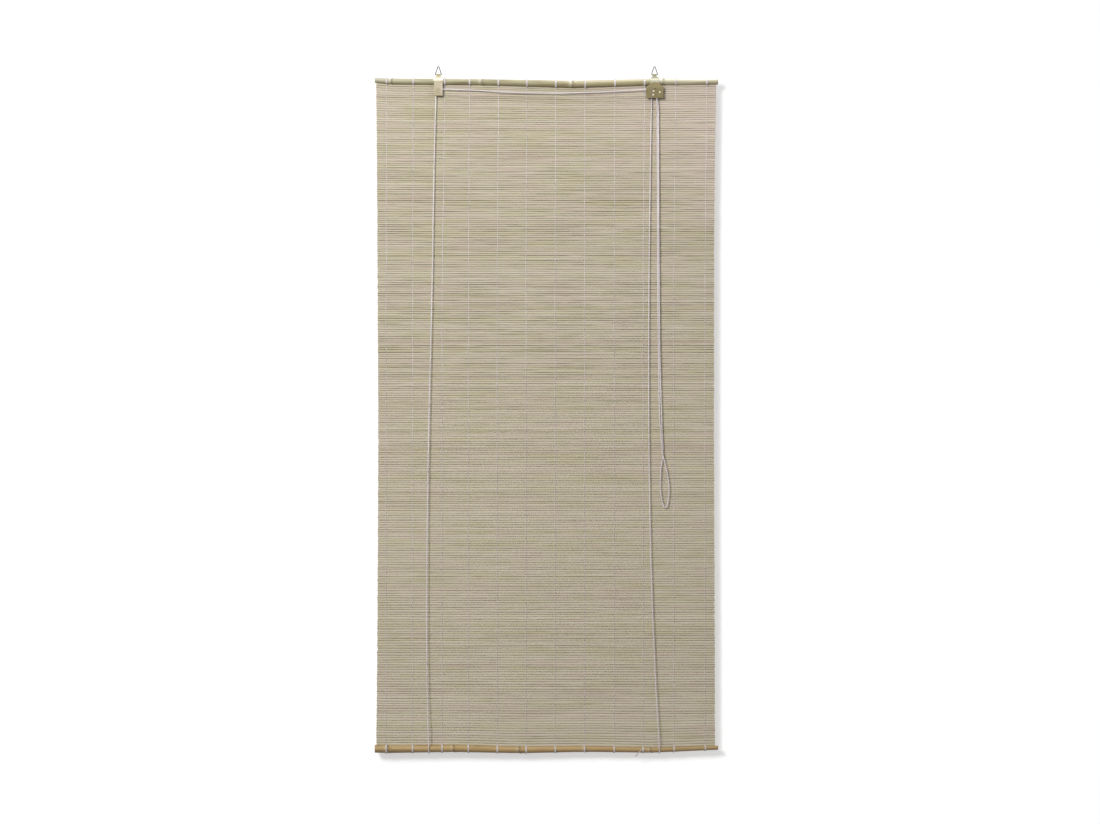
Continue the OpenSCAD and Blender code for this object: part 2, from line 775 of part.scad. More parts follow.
// The staple's wires: its legs stand apart by the cord's width
staple_half = cord_d / 2 + staple_clear + staple_wire_d / 2;
function staple_crown(x) = top_r(x) + 2 * staple_clear + cord_d + staple_wire_d / 2;

module staple_legs(x, r) {
    for (side = [-1, 1])
        bar_y(x + side * staple_half, top_z(x), r, top_r(x) - staple_depth, staple_crown(x) - staple_bend);
}

module staple(x) {
    color(steel_grey)
        union() {
            staple_legs(x, staple_wire_d / 2);
            translate([x, staple_crown(x) - staple_bend, top_z(x)]) {
                translate([staple_bend - staple_half, staple_bend, 0])
                    rotate([0, 90, 0])
                        cylinder(h = 2 * (staple_half - staple_bend), d = staple_wire_d);
                for (flip = [0, 1])
                    mirror([flip, 0, 0])
                        translate([staple_half - staple_bend, 0, 0])
                            wire_bend(staple_bend, staple_wire_d / 2, 90);
            }
        }
}

module left_staple() {
    staple(left_x + left_staple_step);
}

module right_staple() {
    staple(right_x - right_staple_step);
}

function unit(v) = v / norm(v);
function tangent(path, i) =
    unit(unit(path[min(i + 1, len(path) - 1)] - path[i] + (i == len(path) - 1 ? path[i] - path[i - 1] : [0, 0, 0]))
        + unit(path[i] - path[max(i - 1, 0)] + (i == 0 ? path[1] - path[0] : [0, 0, 0])));
function square_to(v, t) = unit(v - (v * t) * t);

// A direction square to the path at each point, carried along without twist
function normals(path) =
    [for (i = 0, n = square_to([1, 0, 0], tangent(path, 0));
          i < len(path);
          i = i + 1, n = i < len(path) ? square_to(n, tangent(path, i)) : n) n];

function cord_r(i) =
    i < len(knot_radii) ? knot_radii[i] :
    i >= len(cord_route) - len(knot_radii) ? knot_radii[len(cord_route) - 1 - i] :
    cord_d / 2;

module lift_cord() {
    count = len(cord_route);
    across = normals(cord_route);
    rings = [for (i = [0:count - 1])
        let (t = tangent(cord_route, i), up = cross(t, across[i]))
        for (s = [0:cord_sides - 1])
            let (angle = 360 * s / cord_sides)
            cord_route[i] + cord_r(i) * (cos(angle) * across[i] + sin(angle) * up)];
    walls = [for (i = [0:count - 2])
        for (s = [0:cord_sides - 1])
            let (a = i * cord_sides + s, b = i * cord_sides + (s + 1) % cord_sides)
            each [[a, a + cord_sides, b], [b, a + cord_sides, b + cord_sides]]];
    first = [for (s = [0:cord_sides - 1]) s];
    last = [for (s = [cord_sides - 1:-1:0]) (count - 1) * cord_sides + s];
    color(cord_white)
        polyhedron(points = rings, faces = concat(walls, [first, last]));
}

top_pole();
bottom_pole();
slat_mat();
for (i = [0:warp_count - 1])
    warp_thread(i);
left_hanger();
left_ring();
left_pulley();
left_pulley_rivet();
right_hanger();
right_ring();
lock_pulley();
lock_pulley_rivet();
lock_cam();
lock_cam_rivet();
guide_post();
spacer_rivet();
left_staple();
right_staple();
lift_cord();
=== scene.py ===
import math
import bmesh
import bpy
import numpy as np
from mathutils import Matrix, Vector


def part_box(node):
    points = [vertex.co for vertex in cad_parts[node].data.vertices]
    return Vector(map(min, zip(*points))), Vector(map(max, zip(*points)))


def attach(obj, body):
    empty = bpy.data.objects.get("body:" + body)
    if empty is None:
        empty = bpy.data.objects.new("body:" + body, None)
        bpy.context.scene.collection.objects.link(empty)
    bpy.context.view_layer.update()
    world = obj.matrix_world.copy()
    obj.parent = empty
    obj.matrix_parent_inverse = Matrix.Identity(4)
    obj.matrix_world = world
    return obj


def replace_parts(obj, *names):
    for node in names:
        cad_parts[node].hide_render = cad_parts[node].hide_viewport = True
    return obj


# Bamboo roll-up blind, dressed for a straight-on studio picture
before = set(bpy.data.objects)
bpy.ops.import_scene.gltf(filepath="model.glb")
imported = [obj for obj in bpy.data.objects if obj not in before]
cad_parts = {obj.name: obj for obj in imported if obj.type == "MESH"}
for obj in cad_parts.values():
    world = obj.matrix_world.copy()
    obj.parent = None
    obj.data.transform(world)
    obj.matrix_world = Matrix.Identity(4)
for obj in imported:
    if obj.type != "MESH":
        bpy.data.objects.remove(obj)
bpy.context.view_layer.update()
scene = bpy.context.scene
scene.view_settings.view_transform = "Standard"
MM = 0.001
chance = np.random.default_rng(41)

# Camera: straight on, its place in metres, and the picture's width at the blind
CAMERA_X = 0.0082
CAMERA_Y = -5.0
CAMERA_Z = -0.8043
PICTURE_W = 2.565
SENSOR_W = 36
FARTHEST = 60
lens = bpy.data.cameras.new("camera")
lens.sensor_width = SENSOR_W
lens.lens = SENSOR_W * -CAMERA_Y / PICTURE_W
lens.clip_end = FARTHEST
camera = bpy.data.objects.new("camera", lens)
camera.location = (CAMERA_X, CAMERA_Y, CAMERA_Z)
camera.rotation_euler = (math.pi / 2, 0, 0)
scene.collection.objects.link(camera)
scene.camera = camera


def linear(code):
    """A colour written as sRGB hex, turned linear: the usual sRGB curve for each channel."""
    value = np.array([int(code[i:i + 2], 16) / 255 for i in (0, 2, 4)])
    value = np.where(value <= 0.04045, value / 12.92, ((value + 0.055) / 1.055) ** 2.4)
    return (*[float(v) for v in value], 1.0)


def node(tree, kind, inputs=None, stops=None, **settings):
    """Adds one shader node, sets its options, ramp stops and inputs, and links inputs given as sockets."""
    made = tree.nodes.new(kind)
    for key, value in settings.items():
        setattr(made, key, value)
    if stops:
        ramp = made.color_ramp.elements
        for element, (place, code) in ((ramp[0], stops[0]), (ramp[1], stops[-1])):
            element.position = place
            element.color = linear(code)
        for place, code in stops[1:-1]:
            ramp.new(place).color = linear(code)
    for key, value in (inputs or {}).items():
        if isinstance(value, bpy.types.NodeSocket):
            tree.links.new(value, made.inputs[key])
        else:
            made.inputs[key].default_value = value
    return made


def new_material(name):
    """A new node material: its tree, its shader, linked to the output, and its Object coordinates."""
    material = bpy.data.materials.new(name)
    material.use_nodes = True
    tree = material.node_tree
    tree.nodes.clear()
    shader = node(tree, "ShaderNodeBsdfPrincipled")
    node(tree, "ShaderNodeOutputMaterial", {"Surface": shader.outputs[0]})
    place = node(tree, "ShaderNodeTexCoord").outputs["Object"]
    return material, tree, shader, place


# Cord route, the same points as the source, in millimetres
LEFT_RUN = [
    (-232, 8.6, -27.6), (-232, 8.6, -30.2), (-232, 8.6, -32.4), (-232, 8.6, -43), (-252, 9.6, -800),
    (-274, 10.9, -1589.5), (-274, 7.7, -1597.2), (-274, 0, -1600.4), (-274, -7.7, -1597.2),
    (-274, -10.9, -1589.5), (-277.5, -9.5, -1450), (-278.5, -8.5, -1200), (-275, -7.5, -900),
    (-267, -6.2, -540), (-260.5, -5.2, -180), (-257.6, -5, -72),
    (-257.6, -5, -58.6), (-256, -5, -54.6), (-252, -5, -53)]
CROSS_RUN = [
    (-178, -5.3, -54.6), (-75, -5.7, -60.2), (27, -6, -61.8), (130, -6.3, -58.9), (230, -6.5, -53.4),
    (249.3, -6.5, -52.9), (252.5, -6.5, -54.2), (253.8, -6.5, -57.4),
    (253.9, -6.5, -63), (255.1, -6.5, -68.5), (257, -6.6, -75), (257.8, -6.6, -90)]
PULL_RUN = [
    (258, -6.2, -130), (259, -6.2, -400), (261.5, -6.2, -700), (265.8, -6.6, -850),
    (271.8, -7.7, -907), (277, -7.2, -928), (282.5, -6.4, -955), (285.6, -6, -981), (284.6, -6, -1001),
    (281.1, -6, -1022), (279.8, -6, -1025.2), (276.6, -6, -1026.5), (273.4, -6, -1025.2), (272.1, -6, -1022),
    (268, -6, -1006), (265.4, -6, -985), (265.4, -5.8, -960), (267.3, -5.2, -932), (271.4, -4.6, -907),
    (269.4, -5.4, -850), (264.8, -6, -700), (262, -6, -400), (260.9, -5.4, -130)]
RIGHT_RUN = [
    (260.3, -4.7, -90), (258.4, -4.3, -75), (255.3, -4.2, -68.5), (253.9, -4.2, -63),
    (253.8, -4.2, -57.4), (252.5, -4.2, -54.2), (249.3, -4.2, -52.9), (246.1, -4.2, -54.2),
    (244.8, -4.2, -57.4), (244.8, -4.2, -76),
    (243, -4.6, -180), (239, -5.2, -500), (239, -6, -900), (243.5, -6.6, -1160), (253.5, -7.4, -1420),
    (263, -7.9, -1592.2), (263, -5.6, -1597.8), (263, 0, -1600.1), (263, 5.6, -1597.8), (263, 7.9, -1592.2),
    (246, 9, -800), (234, 9.4, -44), (234, 9.4, -33.2), (234, 9.4, -31), (234, 9.4, -28.4)]
CORD_D = 2.2
CORD_STEP = 5
CORD_SIDES = 8
LEFT_KNOT = (-232, 8.8, -30.1)
RIGHT_KNOT = (234, 9.6, -30.9)


def smooth_path(points, step):
    """A curve through all the points: on each stretch a cubic whose end slopes come from the
    neighbouring points, weighted by their distances, and whose reach at an end is at most three times
    the shorter stretch there. Sampled at about one step, and finer where the points are close."""
    p = np.asarray(points, float)
    chord = np.linalg.norm(np.diff(p, axis=0), axis=1)
    slope = np.diff(p, axis=0) / chord[:, None]
    before, after = chord[:-1, None], chord[1:, None]
    inner = (slope[:-1] * after + slope[1:] * before) / (before + after)
    tangent = np.vstack([slope[:1], inner / np.linalg.norm(inner, axis=1)[:, None], slope[-1:]])
    short = np.minimum(np.append(chord, np.inf), np.append(np.inf, chord))
    runs = []
    for k in range(len(chord)):
        count = max(4, int(round(chord[k] / step)))
        t = (np.arange(count) / count)[:, None]
        reach_a, reach_b = np.minimum(chord[k], 3 * short[k:k + 2])
        runs.append(
            (2 * t**3 - 3 * t**2 + 1) * p[k] + (t**3 - 2 * t**2 + t) * reach_a * tangent[k]
            + (3 * t**2 - 2 * t**3) * p[k + 1] + (t**3 - t**2) * reach_b * tangent[k + 1])
    return np.vstack(runs + [p[-1:]])


def path_frames(path):
    """Directions across a path: each normal is the last one with its part along the new tangent
    taken off, so the frame doesn't twist."""
    tangent = np.gradient(path, axis=0)
    tangent /= np.linalg.norm(tangent, axis=1)[:, None]
    normal = np.empty_like(path)
    carry = np.array([1.0, 0.0, 0.0]) if abs(tangent[0, 0]) < 0.8 else np.array([0.0, 1.0, 0.0])
    for k, along in enumerate(tangent):
        carry = carry - along * carry.dot(along)
        carry /= np.linalg.norm(carry)
        normal[k] = carry
    return normal, np.cross(tangent, normal)


def tube(path, radius, sides, closed=False):
    """A tube: at each path point a circle of the given radius in the frame across the path.
    Returns its points, its quads and, for each quad corner, the share round it and the length along it."""
    normal, other = path_frames(path)
    angle = np.arange(sides) * 2 * np.pi / sides
    points = path[:, None] + radius * (
        np.cos(angle)[None, :, None] * normal[:, None] + np.sin(angle)[None, :, None] * other[:, None])
    length = np.linalg.norm(np.diff(path, axis=0), axis=1).sum()
    quads, corner = grid(len(path), sides, closed)
    corner[..., 1] = np.interp(corner[..., 1], [0, 1], [0, length])
    return points.reshape(-1, 3), quads, corner


def grid(rows, cols, closed=False):
    """Quads of a grid of points whose columns run round a section, the last row joined to the first if
    closed, with each corner's share across and along."""
    r = np.arange(rows if closed else rows - 1)[:, None]
    c = np.arange(cols)[None, :]
    row = np.stack(np.broadcast_arrays(r, r, r + 1, r + 1), -1) + 0 * c[..., None]
    col = np.stack(np.broadcast_arrays(c, c + 1, c + 1, c), -1) + 0 * r[..., None]
    quads = (row % rows) * cols + col % cols
    share = np.stack([col / cols, row / max(rows - 1, 1)], -1)
    return quads.reshape(-1, 4), share.reshape(-1, 4, 2).astype(float)


def joined(parts):
    """Several surfaces as one: points stacked, and each one's quads moved past those before it."""
    offset = np.cumsum([0] + [len(p[0]) for p in parts])
    return (np.vstack([p[0] for p in parts]),
            np.vstack([p[1] + o for p, o in zip(parts, offset)]),
            np.vstack([p[2] for p in parts]))


def piece(name, surface, material, body="blind", values=None):
    """Puts a surface, in millimetres, into an object at the origin: fills the mesh from whole arrays,
    closes the tubes' ends, turns all faces outwards, and lets it ride on its body."""
    points, quads, corner = surface
    mesh = bpy.data.meshes.new(name)
    mesh.vertices.add(len(points))
    mesh.vertices.foreach_set("co", (np.asarray(points) * MM).astype(np.float32).ravel())
    mesh.loops.add(quads.size)
    mesh.loops.foreach_set("vertex_index", quads.astype(np.int32).ravel())
    mesh.polygons.add(len(quads))
    mesh.polygons.foreach_set("loop_start", np.arange(0, quads.size, 4, dtype=np.int32))
    mesh.update(calc_edges=True)
    mesh.uv_layers.new(name="UVMap").data.foreach_set("uv", corner.astype(np.float32).ravel())
    for key, value in (values or {}).items():
        mesh.attributes.new(key, "FLOAT", "POINT").data.foreach_set("value", np.asarray(value, np.float32))
    work = bmesh.new()
    work.from_mesh(mesh)
    rims = [e for e in work.edges if e.is_boundary]
    bmesh.ops.holes_fill(work, edges=rims, sides=0)
    bmesh.ops.recalc_face_normals(work, faces=work.faces)
    work.to_mesh(mesh)
    work.free()
    corners = np.empty(len(mesh.polygons), np.int32)
    mesh.polygons.foreach_get("loop_total", corners)
    mesh.polygons.foreach_set("use_smooth", corners == 4)
    mesh.materials.append(material)
    made = bpy.data.objects.new(name, mesh)
    scene.collection.objects.link(made)
    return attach(made, body)


# Finishes

def bamboo_skin(name, along, node_brown, bloom_pale, underside):
    """Bamboo cane, uncut skin: waxy, its colour changing slowly along the cane, streaked by its fibres,
    brown at the joints, with pale bloom beside them, and darker and browner underneath with painted shade."""
    material, tree, shader, place = new_material(name)
    parts = node(tree, "ShaderNodeSeparateXYZ", {0: place})
    # Share of the way along a pole 0.8 m long
    share = node(tree, "ShaderNodeMapRange", {0: parts.outputs[0], 1: -0.4, 2: 0.4})
    ground = node(tree, "ShaderNodeValToRGB", {0: share.outputs[0]}, stops=along)
    # Fibre streaks about 60 mm long and 1.2 mm wide, blotches about 90 mm long and 14 mm wide
    fibre_place = node(tree, "ShaderNodeMapping", {"Vector": place, "Scale": (17, 850, 850)})
    fibre = node(tree, "ShaderNodeTexNoise", {"Vector": fibre_place.outputs[0], "Scale": 1.0, "Detail": 3.0})
    blotch_place = node(tree, "ShaderNodeMapping", {"Vector": place, "Scale": (11, 70, 70)})
    blotch = node(tree, "ShaderNodeTexNoise",
                  {"Vector": blotch_place.outputs[0], "Scale": 1.0, "Detail": 4.0})
    tone = node(tree, "ShaderNodeMath", {0: blotch.outputs[0], 1: 0.65}, operation="MULTIPLY")
    tone = node(tree, "ShaderNodeMath", {0: fibre.outputs[0], 1: 0.35, 2: tone.outputs[0]},
                operation="MULTIPLY_ADD")
    streak = node(tree, "ShaderNodeValToRGB", {0: tone.outputs[0]},
                  stops=[(0.30, "BDB29C"), (0.50, "F1EDE4"), (0.68, "FFFFFF")])
    colour = node(tree, "ShaderNodeMix", {0: 1.0, 6: ground.outputs[0], 7: streak.outputs[0]},
                  data_type="RGBA", blend_type="MULTIPLY")
    joint = node(tree, "ShaderNodeAttribute", attribute_name="joint")
    browned = node(tree, "ShaderNodeMix",
                   {0: joint.outputs["Fac"], 6: colour.outputs[2], 7: linear(node_brown)}, data_type="RGBA")
    bloom = node(tree, "ShaderNodeAttribute", attribute_name="bloom")
    waxed = node(tree, "ShaderNodeMix",
                 {0: bloom.outputs["Fac"], 6: browned.outputs[2], 7: linear(bloom_pale)}, data_type="RGBA")
    # Painted shade: the skin darkens and browns towards the underside, by the under attribute
    under = node(tree, "ShaderNodeAttribute", attribute_name="under")
    underside_shade = node(tree, "ShaderNodeValToRGB", {0: under.outputs["Fac"]},
                  stops=[(0.0, "FFFFFF"), (0.5, "F2EDE4"), (1.0, underside)])
    shaded_skin = node(tree, "ShaderNodeMix", {0: 1.0, 6: waxed.outputs[2], 7: underside_shade.outputs[0]},
                data_type="RGBA", blend_type="MULTIPLY")
    bump = node(tree, "ShaderNodeBump", {"Height": fibre.outputs[0], "Strength": 0.2, "Distance": 0.0004})
    rough = node(tree, "ShaderNodeMapRange", {0: blotch.outputs[0], 3: 0.28, 4: 0.45})
    tree.links.new(shaded_skin.outputs[2], shader.inputs["Base Color"])
    tree.links.new(rough.outputs[0], shader.inputs["Roughness"])
    tree.links.new(bump.outputs[0], shader.inputs["Normal"])
    shader.inputs["Specular IOR Level"].default_value = 0.6
    return material


def split_bamboo():
    """Split bamboo slats, planed and unvarnished: matt straw, each slat its own tone, fine long fibres,
    pinker and greener in patches, with painted light towards one corner and painted shade and dust in the
    grooves."""
    material, tree, shader, place = new_material("split_bamboo")
    # Fibres about 120 mm long and 0.9 mm high, stains about 250 mm long and 30 mm high
    fibre_place = node(tree, "ShaderNodeMapping", {"Vector": place, "Scale": (8, 400, 1100)})
    fibre = node(tree, "ShaderNodeTexNoise", {"Vector": fibre_place.outputs[0], "Scale": 1.0, "Detail": 4.0})
    stain_place = node(tree, "ShaderNodeMapping", {"Vector": place, "Scale": (4, 20, 33)})
    stain = node(tree, "ShaderNodeTexNoise", {"Vector": stain_place.outputs[0], "Scale": 1.0, "Detail": 3.0})
    tone = node(tree, "ShaderNodeAttribute", attribute_name="tone")
    level = node(tree, "ShaderNodeMath", {0: fibre.outputs[0], 1: 0.9}, operation="MULTIPLY")
    for socket, weight in ((stain.outputs[0], 0.25), (tone.outputs["Fac"], 0.30)):
        level = node(tree, "ShaderNodeMath", {0: socket, 1: weight, 2: level.outputs[0]},
                     operation="MULTIPLY_ADD")
    straw = node(tree, "ShaderNodeValToRGB", {0: level.outputs[0]},
                 stops=[(0.50, "C3BAA5"), (0.725, "CEC6B5"), (0.95, "D7D0C0")])
    # Patches of tint about 110 mm long and 25 mm high
    hue_place = node(tree, "ShaderNodeMapping", {"Vector": place, "Scale": (9, 20, 40)})
    hue = node(tree, "ShaderNodeTexNoise", {"Vector": hue_place.outputs[0], "Scale": 1.0, "Detail": 3.0})
    warm = node(tree, "ShaderNodeAttribute", attribute_name="warm")
    drift = node(tree, "ShaderNodeMath", {0: warm.outputs["Fac"], 1: 0.25, 2: hue.outputs[0]},
                 operation="MULTIPLY_ADD")
    tint = node(tree, "ShaderNodeValToRGB", {0: drift.outputs[0]},
                stops=[(0.48, "F0EDD8"), (0.625, "F7F3EA"), (0.77, "F7EDE8")])
    tinted = node(tree, "ShaderNodeMix", {0: 0.8, 6: straw.outputs[0], 7: tint.outputs[0]},
                  data_type="RGBA", blend_type="MULTIPLY")
    # Painted light: paler and pinker towards the upper right corner, where x + z is greatest
    reach = node(tree, "ShaderNodeVectorMath", {0: place, 1: (1, 0, 1)}, operation="DOT_PRODUCT")
    corner_light = node(tree, "ShaderNodeMapRange", {0: reach.outputs["Value"], 1: -0.05, 2: 0.2, 3: 0.0, 4: 0.3})
    corner_lit = node(tree, "ShaderNodeMix", {0: corner_light.outputs[0], 6: tinted.outputs[2], 7: linear("E2CECA")},
                  data_type="RGBA")
    # Painted shade and dust in the grooves: the colour darkens towards 6E6150 as the groove value grows
    groove = node(tree, "ShaderNodeAttribute", attribute_name="groove")
    depth = node(tree, "ShaderNodeMath", {0: groove.outputs["Fac"], 1: 2.0}, operation="POWER")
    dust_and_shade = node(tree, "ShaderNodeMix", {0: depth.outputs[0], 6: corner_lit.outputs[2], 7: linear("6E6150")},
                 data_type="RGBA")
    bump = node(tree, "ShaderNodeBump", {"Height": fibre.outputs[0], "Strength": 0.3, "Distance": 0.0004})
    tree.links.new(dust_and_shade.outputs[2], shader.inputs["Base Color"])
    tree.links.new(bump.outputs[0], shader.inputs["Normal"])
    shader.inputs["Roughness"].default_value = 0.62
    shader.inputs["Specular IOR Level"].default_value = 0.35
    return material


# Heights in metres between which cotton greys low down and round the top pole, and darkens with painted shade
# at the very foot
GREY_LOW = (-0.3, -1.3)
GREY_HIGH = (-0.032, -0.024)
SHADED_FOOT = (-1.598, -1.603)


def cotton(name, clean, worn, twists, patch):
    """Cotton yarn: matt and soft, with stretches that have greyed with handling, greyer low down and round
    the top pole, with painted shade at the very foot under the bottom pole and in the furrows between its
    strands.
    twists is the strands round it and their turns per millimetre, which are too fine to show and give an even
    nap. patch is the length of a greyed stretch in metres."""
    material, tree, shader, place = new_material(name)
    along = node(tree, "ShaderNodeUVMap", uv_map="UVMap")
    slant = node(tree, "ShaderNodeMapping", {"Vector": along.outputs[0], "Scale": (twists[0], twists[1], 0)})
    parts = node(tree, "ShaderNodeSeparateXYZ", {0: slant.outputs[0]})
    phase = node(tree, "ShaderNodeMath", {0: parts.outputs[0], 1: parts.outputs[1]}, operation="ADD")
    turn = node(tree, "ShaderNodeMath", {0: phase.outputs[0], 1: 2 * math.pi}, operation="MULTIPLY")
    strand = node(tree, "ShaderNodeMath", {0: turn.outputs[0]}, operation="SINE")
    grey_place = node(tree, "ShaderNodeMapping", {"Vector": place, "Scale": (1 / patch,) * 3})
    grey = node(tree, "ShaderNodeTexNoise", {"Vector": grey_place.outputs[0], "Scale": 1.0, "Detail": 3.0})
    height = node(tree, "ShaderNodeSeparateXYZ", {0: place})
    for start, end in (GREY_LOW, GREY_HIGH):
        more = node(tree, "ShaderNodeMapRange", {0: height.outputs[2], 1: start, 2: end, 3: 0.0, 4: 0.25})
        grey = node(tree, "ShaderNodeMath", {0: grey.outputs[0], 1: more.outputs[0]}, operation="ADD")
    worn_out = node(tree, "ShaderNodeValToRGB", {0: grey.outputs[0]}, stops=[(0.40, clean), (0.70, worn)])
    # Painted shade at the very foot, under the bottom pole
    darkening = node(tree, "ShaderNodeMapRange",
                {0: height.outputs[2], 1: SHADED_FOOT[0], 2: SHADED_FOOT[1], 3: 0.0, 4: 0.9})
    colour = node(tree, "ShaderNodeMix", {0: darkening.outputs[0], 6: worn_out.outputs[0], 7: linear("7C756A")},
                  data_type="RGBA")
    # Painted shade in the furrows between the strands, darkening the colour by up to a tenth
    furrow_shade = node(tree, "ShaderNodeMapRange", {0: strand.outputs[0], 1: -1.0, 2: 1.0, 3: 0.90, 4: 1.0})
    furrow_shaded = node(tree, "ShaderNodeMix", {0: 1.0, 6: colour.outputs[2], 7: furrow_shade.outputs[0]},
                data_type="RGBA", blend_type="MULTIPLY")
    bump = node(tree, "ShaderNodeBump", {"Height": strand.outputs[0], "Strength": 0.35, "Distance": 0.0002})
    tree.links.new(furrow_shaded.outputs[2], shader.inputs["Base Color"])
    tree.links.new(bump.outputs[0], shader.inputs["Normal"])
    shader.inputs["Roughness"].default_value = 0.88
    shader.inputs["Sheen Weight"].default_value = 0.25
    return material


def mark(tree, place, colour, start, end, half, code):
    """Mixes a faint straight mark into a colour: strongest on the line from start to end, given as X and Z in
    millimetres, and gone smoothly at three times half its width."""
    start, end = np.array([start[0], 0, start[1]]) * MM, np.array([end[0], 0, end[1]]) * MM
    run = end - start
    flat = node(tree, "ShaderNodeMapping", {"Vector": place, "Scale": (1, 0, 1), "Location": -start})
    share = node(tree, "ShaderNodeVectorMath", {0: flat.outputs[0], 1: run / run.dot(run)},
                 operation="DOT_PRODUCT")
    share = node(tree, "ShaderNodeClamp", {0: share.outputs["Value"]})
    foot = node(tree, "ShaderNodeVectorMath", {0: run, "Scale": share.outputs[0]}, operation="SCALE")
    away = node(tree, "ShaderNodeVectorMath", {0: flat.outputs[0], 1: foot.outputs[0]}, operation="DISTANCE")
    strength = node(tree, "ShaderNodeMapRange",
                    {0: away.outputs["Value"], 1: 0.0, 2: 3 * half * MM, 3: 0.6, 4: 0.0},
                    interpolation_type="SMOOTHSTEP")
    mixed = node(tree, "ShaderNodeMix", {0: strength.outputs[0], 6: colour, 7: linear(code)},
                 data_type="RGBA")
    return mixed.outputs[2]


def hardware_metal(name, foot_z, head_z, tones, metal, gloss, marks=()):
    """Plated steel, stamped and folded, drawn wire or turned brass: satin, its tones running from foot_z to
    head_z, stained in patches, with scratches along its length and the given straight marks."""
    material, tree, shader, place = new_material(name)
    # Scratches about 8 mm long and 0.25 mm wide, stains about 7 mm across
    scratch_place = node(tree, "ShaderNodeMapping", {"Vector": place, "Scale": (4000, 900, 120)})
    scratch = node(tree, "ShaderNodeTexNoise",
                   {"Vector": scratch_place.outputs[0], "Scale": 1.0, "Detail": 2.0})
    stain = node(tree, "ShaderNodeTexNoise", {"Vector": place, "Scale": 140.0, "Detail": 4.0})
    parts = node(tree, "ShaderNodeSeparateXYZ", {0: place})
    height = node(tree, "ShaderNodeMapRange", {0: parts.outputs[2], 1: foot_z * MM, 2: head_z * MM})
    plate = node(tree, "ShaderNodeValToRGB", {0: height.outputs[0]}, stops=tones)
    darkening = node(tree, "ShaderNodeValToRGB", {0: stain.outputs[0]},
                stops=[(0.32, "DAD5C8"), (0.50, "F5F3EF"), (0.66, "FFFFFF")])
    stained = node(tree, "ShaderNodeMix", {0: 1.0, 6: plate.outputs[0], 7: darkening.outputs[0]},
                   data_type="RGBA", blend_type="MULTIPLY")
    colour = stained.outputs[2]
    for start, end, half, code in marks:
        colour = mark(tree, place, colour, start, end, half, code)
    bump = node(tree, "ShaderNodeBump", {"Height": scratch.outputs[0], "Strength": 0.15, "Distance": 0.0001})
    rough = node(tree, "ShaderNodeMapRange", {0: stain.outputs[0], 3: gloss - 0.08, 4: gloss + 0.14})
    tree.links.new(colour, shader.inputs["Base Color"])
    tree.links.new(rough.outputs[0], shader.inputs["Roughness"])
    tree.links.new(bump.outputs[0], shader.inputs["Normal"])
    shader.inputs["Metallic"].default_value = metal
    return material


# The last colour of each skin is that of its painted shade underneath
top_skin = bamboo_skin("bamboo_skin_green", [
    (0.0, "CACDC0"), (0.06, "C3C4AC"), (0.35, "B7B69A"), (0.60, "B7B295"), (0.80, "BAB696"), (0.84, "DEE0CD"),
    (1.0, "E4E4D6")], "786A4A", "DEDCCE", "C6B89E")
bottom_skin = bamboo_skin("bamboo_skin_tan", [
    (0.0, "BDA474"), (0.30, "B79D6B"), (0.65, "BA9E6D"), (1.0, "B09869")], "5E4A2E", "C5B48C", "A8926F")
slat_finish = split_bamboo()
thread_cotton = cotton("thread_cotton", "EAE2E6", "D2C8C5", (2, 900), 0.09)
cord_cotton = cotton("cord_cotton", "F8F2F6", "E3D9DE", (3, 260), 0.12)
# Tones from foot to head: the white band where the strap curves over the pole is a painted highlight. The
# second mark, by the rivet, is painted shade.
left_plate = hardware_metal("plated_steel_champagne", -68, -16, [
    (0.0, "ABA081"), (0.35, "BAB097"), (0.66, "BFB69E"), (0.71, "F2ECE2"), (0.82, "F2ECE2"), (0.85, "CDC6A2"),
    (1.0, "B9B286")], 0.2, 0.48,
    [((-243.5, -38), (-243.5, -66), 1.0, "CDC1B4"), ((-258, -57), (-254, -59.4), 0.4, "A3977A")])
# Tones from foot to head: the pale band where the strap curves over the pole is a painted highlight. The last
# mark, along the strap's left edge, is painted shade.
right_plate = hardware_metal("plated_steel_olive", -73.5, -16, [
    (0.0, "80764F"), (0.41, "8A805A"), (0.57, "94875E"), (0.62, "A09571"), (0.67, "BEBBA6"), (0.86, "B9B9A8"),
    (0.93, "A6A88C"), (1.0, "868C70")], 0.2, 0.48,
    [((245, -49), (245, -73), 2.0, "7D6E62"), ((250.2, -58.8), (258.4, -67.7), 0.6, "6B6244"),
     ((240, -26), (240, -44), 0.8, "6A6C55")])
rivet_steel = hardware_metal("plated_steel_bright", -72, -45, [(0.0, "E3DBC8"), (1.0, "EDE6D6")], 0.3, 0.35)
wire_steel = hardware_metal("drawn_steel_wire", -20, 2, [
    (0.0, "42433E"), (0.75, "3C3C3C"), (1.0, "222222")], 0.1, 0.55)
wheel_brass = hardware_metal("turned_brass", -68, -50, [(0.0, "A98F4C"), (1.0, "BFA65E")], 0.85, 0.33)

for name, finish in {
    "left_hanger": left_plate, "right_hanger": right_plate, "left_pulley_rivet": left_plate,
    "lock_pulley_rivet": rivet_steel, "lock_cam_rivet": rivet_steel, "guide_post": rivet_steel,
    "spacer_rivet": right_plate, "left_ring": wire_steel, "right_ring": wire_steel,
    "left_staple": wire_steel, "right_staple": wire_steel, "left_pulley": wheel_brass,
    "lock_pulley": wheel_brass, "lock_cam": wheel_brass,
}.items():
    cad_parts[name].data.materials.clear()
    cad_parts[name].data.materials.append(finish)

# The cord, with its end knots
cord_path = smooth_path(LEFT_RUN + CROSS_RUN + PULL_RUN + RIGHT_RUN, CORD_STEP)
cord = piece("lift_cord_braid", tube(cord_path, CORD_D / 2, CORD_SIDES), cord_cotton)
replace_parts(cord, "lift_cord")


